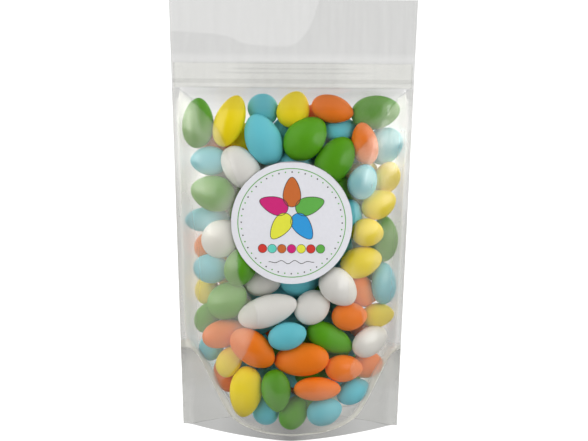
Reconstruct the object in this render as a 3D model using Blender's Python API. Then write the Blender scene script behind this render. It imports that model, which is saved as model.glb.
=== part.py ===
"""Sugared almonds in a clear stand-up pouch with a press zip and a round label.

Metres, +Z up. X runs across the pouch, its front faces -Y, and the origin is the
centre of the base. The filled pouch is one body: a bellied core, the almonds that
press its film out front and back, the weld that shapes the base, and the flat zip
header. The label is a thin disc that lies on the front.
"""
import math
import random

import bmesh
import bpy
from mathutils import Matrix, Vector

MM = 0.001

# Pouch
HEIGHT = 235 * MM
HALF_WIDTH_BASE = 59.7 * MM
HALF_WIDTH_TOP = 65 * MM
SIDE_SEAL = 4 * MM
WELD_HALF = 0.5 * MM
CORNER_RISE = 2.4 * MM
FLAT_BASE_HALF = 24 * MM
RISE_FADES_AT = 60 * MM

# Half depth of the core in the middle of the pouch, at heights above the table
CORE_PROFILE = (
    (0 * MM, 23 * MM),
    (14 * MM, 21.2 * MM),
    (60 * MM, 18.6 * MM),
    (100 * MM, 14.2 * MM),
    (140 * MM, 9 * MM),
    (165 * MM, 5 * MM),
    (180 * MM, 2.6 * MM),
    (188.8 * MM, 0.4 * MM),
)
LENS_POWER_BASE = 2.1
LENS_POWER_GAIN = 2.0

# Zip and header: height of each step, and the half thickness from there up
ZIP_BOTTOM = 188.8 * MM
HEADER_STEPS = (
    (189.2 * MM, 1.5 * MM),
    (191.4 * MM, 1.5 * MM),
    (191.8 * MM, 0.9 * MM),
    (196.2 * MM, 0.9 * MM),
    (196.6 * MM, 1.7 * MM),
    (198.2 * MM, 1.7 * MM),
    (198.6 * MM, 0.9 * MM),
    (201.4 * MM, 0.9 * MM),
    (201.8 * MM, WELD_HALF),
    (218 * MM, WELD_HALF),
    (HEIGHT, WELD_HALF),
)

# Gusset under the base: its lip, and how far it lifts towards the corners
LIP = 1.4 * MM
LIP_SLOPE = 0.6 * MM
LEAST_LIP_SHARE = 0.6
LEAST_CREASE_SHARE = 0.4
GUSSET_LIFT = 3.5 * MM
GUSSET_FULL_AT = 48 * MM
GUSSET_LEAST_HALF = 4.2 * MM
GUSSET_FULL_HALF = 7 * MM

# Curved weld that joins the front and back to the gusset: distance from the middle
# of the pouch and height
BASE_WELD = (
    (0 * MM, 3 * MM),
    (21.5 * MM, 6.6 * MM),
    (30.7 * MM, 10.1 * MM),
    (35.5 * MM, 14 * MM),
    (39.5 * MM, 21 * MM),
    (45.5 * MM, 32 * MM),
    (55 * MM, 41 * MM),
)
WELD_RIDGE_RADIUS = 0.8 * MM
WELD_RIDGE_STEPS = 9

# Almonds that show, laid in staggered rows: least and greatest sizes, and spacing
ALMOND_LENGTH = (22 * MM, 30 * MM)
ALMOND_WIDTH = (15.5 * MM, 19 * MM)
ALMOND_THICKNESS = (12 * MM, 13.5 * MM)
ALMOND_TAPER = 0.2
BUMP = 4.8 * MM
BUMP_FULL_AT = 10 * MM
EDGE_MARGIN = 6.5 * MM
FILL_TOP = 187 * MM
ROW_BOTTOM = 14 * MM
ROW_PITCH = 16.6 * MM
ROWS = 11
ALMOND_PITCH = 20.5 * MM
ALMONDS_PER_ROW = 6
STAGGER = 0.25
JITTER = 1.8 * MM
LYING = (-15, 15)
UPRIGHT = (60, 120)
ANY_WAY = (0, 180)
SEED = 7

# Label
LABEL_RADIUS = 32 * MM
LABEL_HEIGHT = 119.6 * MM
LABEL_THICKNESS = 0.4 * MM
LABEL_GAP = 0.3 * MM
PAD_PROUD = 0.5 * MM
PAD_RIM = 0.8 * MM
PAD_ROOT = 2 * MM
HIDDEN_UNDER_LABEL = 7 * MM
SINK_NEAR_LABEL = 0.9 * MM
SINK_REACH = 15 * MM
LABEL_SIDES = 48
LABEL_RINGS = 4

# Fineness of the core
CORE_COLUMNS = 18
COLUMN_BUNCHING = 0.76
CORE_ROWS = 15
SAME_PLANE = math.radians(0.05)
ROUNDING = 0.01 * MM
SLOPE_STEP = 2 * MM
CRISP_ANGLE = math.radians(40)

FILM_COLOUR = (0.83, 0.84, 0.82, 1.0)
LABEL_COLOUR = (0.80, 0.78, 0.80, 1.0)


def interpolate(points, x):
    """Smooth value at x of a curve through (x, value) points."""
    count = len(points)
    index = 0
    while index < count - 2 and x > points[index + 1][0]:
        index += 1
    x0, y0 = points[index]
    x1, y1 = points[index + 1]
    before = points[max(index - 1, 0)]
    after = points[min(index + 2, count - 1)]
    slope0 = (y1 - before[1]) / (x1 - before[0])
    slope1 = (after[1] - y0) / (after[0] - x0)
    span = x1 - x0
    t = min(max((x - x0) / span, 0.0), 1.0)
    ease = t * t * (3 - 2 * t)
    bend = t * (1 - t) * ((1 - t) * slope0 - t * slope1) * span
    return y0 + (y1 - y0) * ease + bend


def rise(x, start, end):
    """0 up to start, 1 from end on, and even steps between."""
    return min(max((x - start) / (end - start), 0.0), 1.0)


def half_width(z):
    """Half the pouch's width at height z."""
    return HALF_WIDTH_BASE + (HALF_WIDTH_TOP - HALF_WIDTH_BASE) * z / HEIGHT


def fill_half_width(z):
    """Half the width between the side seals at height z."""
    return half_width(z) - SIDE_SEAL


def core_depth(x, z):
    """Half depth of the smooth core at x across and z up."""
    across = min(abs(x) / fill_half_width(z), 1.0)
    power = LENS_POWER_BASE + LENS_POWER_GAIN * (z / ZIP_BOTTOM) ** 2
    return WELD_HALF + interpolate(CORE_PROFILE, z) * (1 - across ** power)


def base_height(x):
    """Height of the pouch's bottom edge, which lifts towards its corners."""
    return CORNER_RISE * rise(abs(x), FLAT_BASE_HALF, HALF_WIDTH_BASE) ** 2


def weld_height(x):
    """Height of the curved base weld at x across."""
    return interpolate(BASE_WELD, min(abs(x), BASE_WELD[-1][0]))


def room_inside(x, z):
    """Distance from a place on the front to the nearest edge of the filling."""
    to_side = fill_half_width(z) - abs(x)
    to_weld = 0.8 * (z - weld_height(x))
    return min(to_side, to_weld, FILL_TOP - z)


def bump_height(x, z):
    """How far the film stands off the core where almonds press on it."""
    return BUMP * rise(room_inside(x, z), 0.0, BUMP_FULL_AT)


def closed_mesh(name, points, faces):
    """Mesh of a closed body with its faces pointing out."""
    mesh = bpy.data.meshes.new(name)
    mesh.from_pydata(points, [], faces)
    shape = bmesh.new()
    shape.from_mesh(mesh)
    bmesh.ops.recalc_face_normals(shape, faces=shape.faces)
    shape.to_mesh(mesh)
    shape.free()
    return mesh


def add_object(name, mesh):
    """Object in the scene that holds a mesh."""
    piece = bpy.data.objects.new(name, mesh)
    bpy.context.scene.collection.objects.link(piece)
    return piece


def column_shares():
    """Places across the filling, from -1 at one side seal to 1 at the other."""
    turns = [math.pi * (0.5 + COLUMN_BUNCHING * (i / CORE_COLUMNS - 0.5))
             for i in range(CORE_COLUMNS + 1)]
    return [math.cos(turn) / math.cos(turns[-1]) for turn in turns]


def pouch_rows():
    """Each row's height, and its half thickness in the header or None in the core."""
    rows = [(ZIP_BOTTOM * i / CORE_ROWS, None) for i in range(CORE_ROWS + 1)]
    return rows + list(HEADER_STEPS)


def row_stations(height, header_half):
    """Points along one row as (x, half depth, z), from one side edge to the other."""
    inner = fill_half_width(height)
    outer = half_width(height)
    places = [-outer] + [share * inner for share in column_shares()] + [outer]
    stations = []
    for x in places:
        lift = base_height(x) * (1 - rise(height, 0.0, RISE_FADES_AT))
        if abs(x) > inner - ROUNDING:
            half = WELD_HALF
        elif header_half is None:
            half = core_depth(x, height)
        else:
            half = header_half
        stations.append((x, half, height + lift))
    return stations


def ring_of(stations):
    """Closed loop of points: along the front, then back along the rear."""
    front = [(x, -half, z) for x, half, z in stations]
    rear = [(x, half, z) for x, half, z in reversed(stations)]
    return front + rear


def gusset_column(x, half, z):
    """Four points across the underside: lip, gusset, gusset, lip."""
    lip = max(half - LIP, LEAST_LIP_SHARE * half)
    crease = max(half - LIP - LIP_SLOPE, LEAST_CREASE_SHARE * half)
    along = rise(abs(x), FLAT_BASE_HALF, GUSSET_FULL_AT)
    lift = GUSSET_LIFT * along * rise(half, GUSSET_LEAST_HALF, GUSSET_FULL_HALF)
    return [(x, -lip, z), (x, -crease, z + lift), (x, crease, z + lift), (x, lip, z)]


def pouch_core():
    """The pouch without its almonds: bellied body, base and zip header."""
    rows = [row_stations(height, half) for height, half in pouch_rows()]
    count = len(rows[0])
    loop = 2 * count
    points = []
    for stations in rows:
        points.extend(ring_of(stations))
    faces = []
    for row in range(len(rows) - 1):
        low = row * loop
        high = low + loop
        for i in range(loop):
            j = (i + 1) % loop
            faces.append((low + i, low + j, high + j, high + i))
    top = (len(rows) - 1) * loop
    for i in range(count - 1):
        faces.append((top + i, top + i + 1, top + loop - 2 - i, top + loop - 1 - i))
    faces.extend(underside(rows[0], points))
    mesh = closed_mesh("pouch", points, faces)
    join_flat_faces(mesh)
    return add_object("pouch", mesh)


def join_flat_faces(mesh):
    """Merge neighbouring faces of a mesh that lie in one plane."""
    shape = bmesh.new()
    shape.from_mesh(mesh)
    bmesh.ops.dissolve_limit(shape, angle_limit=SAME_PLANE, verts=shape.verts, edges=shape.edges)
    shape.to_mesh(mesh)
    shape.free()


def underside(stations, points):
    """Faces under the pouch; the gusset's own points are added to the list."""
    count = len(stations)
    loop = 2 * count
    columns = []
    for i, (x, half, z) in enumerate(stations):
        inner = []
        if 1 < i < count - 2:
            inner = list(range(len(points), len(points) + 4))
            points.extend(gusset_column(x, half, z))
        columns.append([i] + inner + [loop - 1 - i])
    faces = []
    for left, right in zip(columns[:-1], columns[1:]):
        if len(left) == len(right):
            for k in range(len(left) - 1):
                faces.append((left[k], left[k + 1], right[k + 1], right[k]))
        else:
            faces.append(tuple(left + right[::-1]))
    return faces


def front_tilt(x, z):
    """Turn that lays a flat thing against the front of the core."""
    run = 2 * SLOPE_STEP
    across = (core_depth(x + SLOPE_STEP, z) - core_depth(x - SLOPE_STEP, z)) / run
    up = (core_depth(x, z + SLOPE_STEP) - core_depth(x, z - SLOPE_STEP)) / run
    normal = Vector((-across, -1, -up)).normalized()
    return Vector((0, -1, 0)).rotation_difference(normal).to_matrix().to_4x4()


def almond_mesh(name, length, width, thickness):
    """Low egg-shaped body: long on X, thin on Y, narrower towards +X."""
    shape = bmesh.new()
    bmesh.ops.create_icosphere(shape, subdivisions=2, radius=0.5)
    for vert in shape.verts:
        narrow = 1 - ALMOND_TAPER * (vert.co.x + 0.5)
        vert.co = Vector((vert.co.x * length, vert.co.y * thickness, vert.co.z * width * narrow))
    mesh = bpy.data.meshes.new(name)
    shape.to_mesh(mesh)
    shape.free()
    return mesh


def almond_spots():
    """Places of the almonds that show, in staggered rows."""
    jitter = random.Random(SEED)
    spots = []
    for row in range(ROWS):
        for column in range(ALMONDS_PER_ROW):
            shift = column - (ALMONDS_PER_ROW - 1) / 2 + (STAGGER if row % 2 else -STAGGER)
            x = shift * ALMOND_PITCH + jitter.uniform(-JITTER, JITTER)
            z = ROW_BOTTOM + row * ROW_PITCH + jitter.uniform(-JITTER, JITTER)
            if room_inside(x, z) > EDGE_MARGIN:
                spots.append((x, z))
    return spots


def label_distance(x, z):
    """Distance on the front from a place to the label's middle."""
    return math.hypot(x, z - LABEL_HEIGHT)


def place_almond(x, z, sink, turn, sizes, facing):
    """One almond pressed against the front, or against the back if facing is -1."""
    length, width, thickness = sizes
    piece = add_object("almond", almond_mesh("almond", length, width, thickness))
    depth = core_depth(x, z) + bump_height(x, z) - sink - thickness / 2
    seat = Matrix.Translation((x, -depth, z)) @ front_tilt(x, z)
    placed = seat @ Matrix.Rotation(turn, 4, 'Y')
    if facing < 0:
        placed = Matrix.Rotation(math.pi, 4, 'Z') @ placed
    piece.data.transform(placed)
    return piece


def lean_range(x, z, reach):
    """Range of turns, in degrees, that keeps an almond of that reach in the filling."""
    if FILL_TOP - z < reach:
        return LYING
    if fill_half_width(z) - abs(x) < reach:
        return UPRIGHT
    return ANY_WAY


def show_almonds():
    """All almonds that show, front and back."""
    pick = random.Random(SEED + 1)
    pieces = []
    for x, z in almond_spots():
        sizes = (pick.uniform(*ALMOND_LENGTH), pick.uniform(*ALMOND_WIDTH),
                 pick.uniform(*ALMOND_THICKNESS))
        turn = math.radians(pick.uniform(*lean_range(x, z, sizes[0] / 2)))
        pieces.append(place_almond(x, z, 0.0, turn, sizes, -1))
        away = label_distance(x, z) - LABEL_RADIUS
        if away > -HIDDEN_UNDER_LABEL:
            sink = SINK_NEAR_LABEL if away < SINK_REACH else 0.0
            pieces.append(place_almond(x, z, sink, turn, sizes, 1))
    return pieces


def disc_on_front(name, radius, proud, thickness):
    """Thin round piece bent to the front, its outer face proud of the bumps."""
    points = []
    for back in (0, 1):
        for ring in range(LABEL_RINGS + 1):
            sides = LABEL_SIDES if ring else 1
            for side in range(sides):
                angle = 2 * math.pi * side / sides
                x = radius * ring / LABEL_RINGS * math.cos(angle)
                z = LABEL_HEIGHT + radius * ring / LABEL_RINGS * math.sin(angle)
                depth = core_depth(x, z) + BUMP + proud - back * thickness
                points.append((x, -depth, z))
    half = len(points) // 2
    faces = []
    for side in range(LABEL_SIDES):
        after = (side + 1) % LABEL_SIDES
        for start in (0, half):
            faces.append((start, start + 1 + side, start + 1 + after))
            for ring in range(1, LABEL_RINGS):
                low = start + 1 + (ring - 1) * LABEL_SIDES
                high = low + LABEL_SIDES
                faces.append((low + side, high + side, high + after, low + after))
        rim = 1 + (LABEL_RINGS - 1) * LABEL_SIDES
        faces.append((rim + side, rim + after, half + rim + after, half + rim + side))
    return add_object(name, closed_mesh(name, points, faces))


def weld_ridge(facing):
    """Raised line of the curved base weld, on the front or on the back."""
    reach = BASE_WELD[-1][0]
    spots = []
    for i in range(-WELD_RIDGE_STEPS, WELD_RIDGE_STEPS + 1):
        x = reach * i / WELD_RIDGE_STEPS
        z = weld_height(x)
        spots.append(Vector((x, -facing * core_depth(x, z), z)))
    path = bpy.data.curves.new("weld_ridge", 'CURVE')
    path.dimensions = '3D'
    path.bevel_depth = WELD_RIDGE_RADIUS
    path.bevel_resolution = 1
    path.use_fill_caps = True
    spline = path.splines.new('POLY')
    spline.points.add(len(spots) - 1)
    for point, spot in zip(spline.points, spots):
        point.co = (spot.x, spot.y, spot.z, 1.0)
    return add_object("weld_ridge", path)


def as_mesh(piece):
    """Replace a curve object by a mesh object of the same shape."""
    evaluated = piece.evaluated_get(bpy.context.evaluated_depsgraph_get())
    mesh = bpy.data.meshes.new_from_object(evaluated)
    name = piece.name
    bpy.data.objects.remove(piece, do_unlink=True)
    return add_object(name, mesh)


def keep_largest_body(mesh):
    """Drop every loose body of a mesh but its largest."""
    shape = bmesh.new()
    shape.from_mesh(mesh)
    unseen = set(shape.verts)
    bodies = []
    while unseen:
        body = []
        stack = [unseen.pop()]
        while stack:
            vert = stack.pop()
            body.append(vert)
            for edge in vert.link_edges:
                other = edge.other_vert(vert)
                if other in unseen:
                    unseen.remove(other)
                    stack.append(other)
        bodies.append(body)
    bodies.sort(key=len)
    for body in bodies[:-1]:
        bmesh.ops.delete(shape, geom=body, context='VERTS')
    shape.to_mesh(mesh)
    shape.free()


def fuse(core, pieces):
    """Join the pieces to the core by one Boolean union, and remove them."""
    group = bpy.data.collections.new("relief")
    bpy.context.scene.collection.children.link(group)
    for piece in pieces:
        bpy.context.scene.collection.objects.unlink(piece)
        group.objects.link(piece)
    union = core.modifiers.new("relief", 'BOOLEAN')
    union.operation = 'UNION'
    union.operand_type = 'COLLECTION'
    union.collection = group
    union.solver = 'EXACT'
    union.use_self = True
    evaluated = core.evaluated_get(bpy.context.evaluated_depsgraph_get())
    mesh = bpy.data.meshes.new_from_object(evaluated)
    core.modifiers.clear()
    core.data = mesh
    for piece in pieces:
        bpy.data.objects.remove(piece, do_unlink=True)
    bpy.data.collections.remove(group)
    keep_largest_body(mesh)


def material(name, colour, roughness):
    """Principled material."""
    surface = bpy.data.materials.new(name)
    surface.use_nodes = True
    shader = surface.node_tree.nodes["Principled BSDF"]
    shader.inputs["Base Color"].default_value = colour
    shader.inputs["Roughness"].default_value = roughness
    shader.inputs["Metallic"].default_value = 0.0
    surface.diffuse_color = colour
    return surface


def finish(piece, surface):
    """Give a piece its material and smooth shading with crisp steps."""
    piece.data.materials.clear()
    piece.data.materials.append(surface)
    piece.data.shade_smooth()
    piece.data.set_sharp_from_angle(angle=CRISP_ANGLE)


def build_pouch():
    """The filled pouch as one body."""
    pouch = pouch_core()
    relief = show_almonds()
    pad_thickness = BUMP + PAD_PROUD + PAD_ROOT
    relief.append(disc_on_front("label_pad", LABEL_RADIUS + PAD_RIM, PAD_PROUD, pad_thickness))
    relief.append(as_mesh(weld_ridge(1)))
    relief.append(as_mesh(weld_ridge(-1)))
    fuse(pouch, relief)
    finish(pouch, material("film_over_almonds", FILM_COLOUR, 0.3))


def build_label():
    """The paper label on the front."""
    proud = PAD_PROUD + LABEL_GAP + LABEL_THICKNESS
    label = disc_on_front("label", LABEL_RADIUS, proud, LABEL_THICKNESS)
    finish(label, material("label_paper", LABEL_COLOUR, 0.55))


def main():
    """Clear the scene and build both parts."""
    for piece in list(bpy.data.objects):
        bpy.data.objects.remove(piece, do_unlink=True)
    build_pouch()
    build_label()


main()
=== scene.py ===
import math
import random

import bmesh
import bpy
import numpy as np
from mathutils import Matrix, Vector
from mathutils.bvhtree import BVHTree


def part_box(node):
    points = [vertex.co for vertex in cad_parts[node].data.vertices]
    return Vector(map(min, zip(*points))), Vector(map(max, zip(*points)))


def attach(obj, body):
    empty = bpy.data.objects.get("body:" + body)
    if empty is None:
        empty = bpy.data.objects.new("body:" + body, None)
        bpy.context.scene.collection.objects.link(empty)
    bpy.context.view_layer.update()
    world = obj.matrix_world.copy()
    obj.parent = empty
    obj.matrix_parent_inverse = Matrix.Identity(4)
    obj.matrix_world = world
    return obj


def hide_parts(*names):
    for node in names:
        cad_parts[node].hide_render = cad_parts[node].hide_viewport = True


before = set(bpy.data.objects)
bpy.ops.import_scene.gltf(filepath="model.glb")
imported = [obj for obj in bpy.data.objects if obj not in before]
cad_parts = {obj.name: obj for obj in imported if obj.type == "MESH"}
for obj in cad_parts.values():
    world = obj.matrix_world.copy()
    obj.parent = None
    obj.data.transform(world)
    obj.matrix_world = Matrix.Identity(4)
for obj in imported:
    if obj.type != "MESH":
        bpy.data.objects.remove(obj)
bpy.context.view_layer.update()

# A sealed clear pouch of sugared almonds. The film is draped over almonds that are laid
# out as they show in front and packed behind, and a paper label lies on the film.

MM = 0.001


def in_mm(*rows, lengths=2):
    """Rows of numbers, of which the first few are lengths given in mm."""
    return tuple(tuple(value * MM for value in row[:lengths]) + row[lengths:] for row in rows)


# Camera: upright middle plane of the pouch seen from in front and above
CAMERA_ACROSS = 1.2 * MM
CAMERA_BACK = 670.5 * MM
CAMERA_UP = 260.3 * MM
CAMERA_PITCH = math.radians(12.055)
CAMERA_ROLL = math.radians(0.46)
FOCAL_SHARE = 1269 / 588
SENSOR = 36.0

# Pouch form; CORE_PROFILE: height and half depth; BASE_WELD: across and height
POUCH_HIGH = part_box("pouch")[1]
LABEL_LOW, LABEL_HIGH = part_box("label")
HEIGHT = POUCH_HIGH[2]
HALF_WIDTH_TOP = POUCH_HIGH[0]
DEPTH_LIMIT = POUCH_HIGH[1] - 0.7 * MM
HALF_WIDTH_BASE = 59.7 * MM
SIDE_SEAL = 4 * MM
WELD_HALF = 0.5 * MM
FILM_HALF_GAP = 0.25 * MM
CORNER_RISE = 0.6 * MM
FLAT_BASE_HALF = 24 * MM
RISE_FADES_AT = 60 * MM
CORE_PROFILE = in_mm(
    (0, 23), (14, 21.2), (60, 18.6), (100, 14.2), (140, 9), (165, 5), (180, 2.6),
    (188.8, 0.4))
LENS_POWER_BASE = 2.1
LENS_POWER_GAIN = 2.0
FLAP_POWER = 1.45
ZIP_BOTTOM = 188.8 * MM
ZIP_TOP = 201.8 * MM
FILL_TOP = 187 * MM
BUMP = 4.8 * MM
BUMP_FULL_AT = 10 * MM
WELD_MIDDLE = 2 * MM
WELD_HOLDS = 13 * MM
WELD_LEAN = 0.8
GUSSET_SAG = 0.18
BASE_WELD = in_mm(
    (0, 3), (16, 3.5), (25, 5.3), (31.6, 8), (35.3, 11), (39.5, 17.6), (43.3, 24.6),
    (48, 33.6), (52.5, 41.5), (57, 45))
LABEL_RADIUS = (LABEL_HIGH[0] - LABEL_LOW[0]) / 2
LABEL_HEIGHT = (LABEL_LOW[2] + LABEL_HIGH[2]) / 2
LABEL_PROUD = 1.1 * MM
LABEL_THICKNESS = 0.22 * MM
LABEL_GAP = 0.05 * MM
LABEL_RIPPLE = 0.12 * MM
LABEL_RINGS = 40
LABEL_SIDES = 180

# Label print, in places across and up from the label's centre
INKS = {
    "ink_dark": (0.035, 0.035, 0.03),
    "ink_green": (0.09, 0.33, 0.05),
    "ink_brown": (0.45, 0.11, 0.02),
    "ink_magenta": (0.48, 0.01, 0.14),
    "ink_yellow": (0.60, 0.60, 0.04),
    "ink_blue": (0.02, 0.25, 0.55),
    "ink_red": (0.50, 0.03, 0.02),
    "ink_teal": (0.10, 0.50, 0.40),
}
LABEL_COAT = (0.595, 0.595, 0.63)
PRINT_LIFT = 0.035 * MM
PRINT_RINGS = 5
PRINT_SIDES = 32
RING = 28.4 * MM
RING_WIDTH = 0.45 * MM
DOT = 0.8 * MM
DOT_RING = 26.6 * MM
RING_DOTS = 48
PETAL_INKS = ("ink_brown", "ink_magenta", "ink_yellow", "ink_blue", "ink_green")
PETAL = (15.5 * MM, 9 * MM)
PETAL_TIP = 0.3
PETAL_LINE = 0.32 * MM
PETAL_REACH = 10 * MM
PETALS_UP = 6.2 * MM
SWEET_INKS = ("ink_red", "ink_teal", "ink_brown", "ink_magenta", "ink_yellow", "ink_red",
              "ink_green")
SWEET = 4.6 * MM
SWEET_LINE = 0.22 * MM
SWEET_PITCH = 5.1 * MM
SWEETS_UP = -13.5 * MM
WAVE_HALF = 12 * MM
WAVE_UP = -20.5 * MM
WAVE_RISE = 0.9 * MM
WAVE_LENGTH = 1.15 * MM
WAVE_LINE = 0.35 * MM
WAVE_POINTS = 160

# Almonds that show in front, as the camera sees them on the pouch's upright middle
# plane: colour, across and up in mm, length, width, turn in degrees towards the
# pointed end, and how many layers behind the film it lies; below 0 it presses outward
FRONT_ALMONDS = (
    # Top rows
    ("green", -50, 169, 27, 17, 87, 0),
    ("yellow", -34, 171, 28, 16, 70, 0),
    ("blue", -15, 177, 18, 16, -60, 1),
    ("blue", -16, 161, 29, 19, 113, 0),
    ("yellow", 1, 177, 20, 17, 70, 0),
    ("orange", 21, 177, 23, 15, -12, 0),
    ("green", 44, 176, 26, 18, 12, 0.2),
    ("yellow", -27, 159, 20, 15, 80, 1),
    ("blue", -5, 163, 20, 15, 80, 1),
    ("blue", 25, 166, 20, 15, 0, 1),
    ("green", 7, 163, 26, 20, 50, 0),
    ("green", 23, 151, 28, 19, 55, 0),
    ("orange", 38, 159, 23, 14, 100, 0),
    ("blue", 52.5, 157.5, 23, 19, 35, 0.5),
    ("blue", -43.5, 150, 20, 16, 177, 0.3),
    ("white", -27, 146, 27, 18, -50, 0),
    ("blue", 38, 139, 19, 16, 65, 0),
    ("green", 37, 128, 20, 14, 30, 1.8),
    ("green", 28, 135, 18, 14, 0, 1.9),
    ("blue", 15, 158, 19, 14, 20, 1.9),
    ("yellow", 52, 141, 19, 15, 80, 0.8),
    ("blue", 1, 150, 20, 15, 0, 1),
    # Left of the label
    ("green", -42.5, 132, 25, 19, 170, 0),
    ("blue", -45.5, 117, 25, 14, 5, 0.6),
    ("white", -38, 107, 23, 20, 35, 0),
    ("orange", -46.3, 102.3, 17, 13, 60, 1),
    ("green", -29, 125, 21, 15, 90, 0.9),
    ("blue", -43.5, 89.5, 21, 16, 5, 0.2),
    ("green", -28, 92, 23, 17, 65, 0),
    # Right of the label
    ("yellow", 47, 127, 20, 16, 20, 0),
    ("blue", 30.5, 119.5, 21, 17, 80, 0.8),
    ("yellow", 41, 111, 18, 15, -10, 0),
    ("green", 51, 107, 25, 16, 86, 0.7),
    ("yellow", 38, 94, 23, 17, 15, 0),
    ("green", 43, 89, 18, 14, 20, 2),
    ("blue", 25.5, 100, 20, 16, 60, 0.8),
    ("blue", 50.5, 83, 24, 16, 95, 0.3),
    # Below the label
    ("yellow", -46.3, 77, 17, 14, 80, 1),
    ("green", -35, 72, 24, 19, 38, 0),
    ("white", -16, 83, 21, 17, 0, 1),
    ("blue", 4, 82, 21, 16, 0, 1),
    ("white", 26, 80, 24, 18, -45, 0),
    ("orange", 39.5, 78, 21, 15.5, -50, 0.7),
    ("green", -45.7, 62.5, 19, 14, 60, 1),
    ("white", -13, 66, 33, 17, 20, 0),
    ("white", 12, 68, 21, 18, 35, 0),
    ("orange", 32, 63, 20, 16, 0, 0),
    ("yellow", 48, 64, 19, 14, 0, 1),
    ("orange", 40, 57.5, 18, 14, 10, 1.9),
    ("orange", -37, 54, 24, 15, 20, 0.8),
    ("orange", -21.5, 45, 27, 18.5, -35, 0),
    ("blue", -2, 52, 21, 15, 17, 0),
    ("green", 22, 49.5, 27.5, 15, -27, 0.12),
    ("white", 44, 51, 23, 16, 18, 0.3),
    ("blue", -44, 45.4, 18.5, 14, 60, 0.8),
    ("yellow", -33.6, 37.5, 18, 14, 60, 0.6),
    ("orange", -36.2, 29, 19, 13, -70, 1.3),
    # Along the base
    ("yellow", -25, 19, 29, 18, -98, 0),
    ("green", -8, 20.5, 24, 16, -83, 0.15),
    ("orange", 6, 38, 30, 18, 185, -0.2),
    ("orange", 29, 36.5, 21, 15, -5, 1.2),
    ("green", 25, 44, 18, 14, 40, 2),
    ("orange", 42, 37, 19, 15, 0, 1.2),
    ("orange", 15, 22, 26, 13, -3, 0.2),
    ("green", 12, 31, 20, 14, 10, 1.9),
    ("blue", 35, 21, 20, 14, 12, 0.8),
    ("blue", -14, 9, 19, 15, 90, 1),
    ("green", 2, 7, 20, 15, 65, 0.5),
    ("blue", 19, 8, 20, 16, 10, 0.2),
)
SIGHT_ROUNDS = 12
LAYER_DEPTH = 7.5 * MM
BEHIND_PULL = 0.6
THICKNESS_SHARE = 0.74
LEAST_THICKNESS = 10.5 * MM
GREATEST_THICKNESS = 13.5 * MM

# Form of one almond, as ranges to draw from, and its unevenness
ALMOND_BALL = 4
ALMOND_TAPER = (0.02, 0.12)
ALMOND_TIP = (0.04, 0.12)
ALMOND_WAVES = (2.1, 3.3, 4.9)
ALMOND_UNEVEN = 0.035
SHELL_TONES = (-0.14, 0.1)

# Colours of the sugar shells
SHELL_COLOURS = {
    "orange": (0.95, 0.215, 0.006),
    "yellow": (0.97, 0.75, 0.003),
    "green": (0.1, 0.37, 0.005),
    "blue": (0.15, 0.6, 0.7),
    "white": (0.84, 0.82, 0.78),
}

# Almonds that don't show in front; the middle ones only darken the gaps
COLOURS = tuple(SHELL_COLOURS)
LOWEST_ROW = 15 * MM
ROW_STAGGER = 0.25
JITTER_MM = 2
HIDDEN_LENGTH = (19 * MM, 27 * MM)
HIDDEN_WIDTH = (14 * MM, 17.5 * MM)
BACK = dict(rows=11, row_pitch=16.4 * MM, per_row=6, pitch=20 * MM, least_depth=8 * MM,
            share=1.0, colours=COLOURS)
MIDDLE = dict(rows=6, row_pitch=16 * MM, per_row=5, pitch=20 * MM, least_depth=15 * MM,
              share=0.1, colours=("blue", "green", "blue"))
EDGE_MARGIN = 7 * MM
SEED = 11

# Lights: name, azimuth from the front, distance, height, size, power, and whether the
# film mirrors them; all aim at one height on the pouch's axis
LIGHT_AIM = 0.11
LIGHTS = (
    ("softbox_left", -70, 0.8, 0.45, (0.6, 0.9), 2.1, True),
    ("softbox_right", 70, 0.8, 0.45, (0.5, 0.9), 1.75, True),
    ("strip_right", 38, 0.9, 0.35, (0.14, 0.4), 0.5, True),
    ("rear_softbox_left", -128, 0.9, 0.5, (0.7, 1.0), 2.6, True),
    ("rear_softbox_right", 128, 0.9, 0.5, (0.7, 1.0), 2.6, True),
    ("front_fill", 0.0, 0.6, 0.9, (1.0, 0.6), 0.5, False),
)

# Studio: floor and wall, a painted shadow on the floor in the pouch's footprint, and what the
# film mirrors
BACKDROP = 1.28
# Painted shadow under the pouch: its half size, its shift back at the corners, and its glow in
# the middle and towards the corners
PAINTED_SHADOW_SIZE = (57 * MM, 23.6 * MM)
PAINTED_SHADOW_SHIFT = 1.5 * MM
PAINTED_SHADOW_LEVELS = (0.4, 0.82)
FLOOR_RADIUS = 2.4
FLOOR_RINGS = (0.3, 1.2, FLOOR_RADIUS)
CURVE = 0.8
CURVE_RINGS = 10
WALL_HEIGHT = 3.2
WORLD_STRENGTH = 2.36
WORLD_BY_SIDE = ((0.0, 1.0), (0.26, 1.0), (0.37, 0.0), (0.63, 0.0), (0.74, 1.1), (1.0, 1.1))
WORLD_SIDES_BY_HEIGHT = ((0.4, 0.12), (0.48, 1.0))
WORLD_BY_HEIGHT = ((0.0, 0.25), (0.3, 0.25), (0.36, 0.012), (0.7, 0.012), (0.85, 0.1))

# Packing: how far and how fast almonds move, and how firmly the front ones keep their place
PACK_ROUNDS = 260
CONTACT_STEPS = 4
NEAR = 34 * MM
SIDE_ROOM = 0.5 * MM
PACK_EASE = 0.35
FRONT_HOLD = (0.15, 1.0, 0.15)
FRONT_TURN_HOLD = 0.25
PULL_BACK = 0.08
TURN_BACK = 0.3
TILT_BACK = 0.06
PRESS = 0.05 * MM
PROBE_BALL = 3
NORMAL_STEP = 20 * MM
LEAST_COSINE = 0.3
LEAST_TURN = 1e-6
GREATEST_TURN = 0.1
TINY = 1e-12

# The pouch's two sides, and which way each faces
FACINGS = (("front", 1), ("back", -1))

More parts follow.
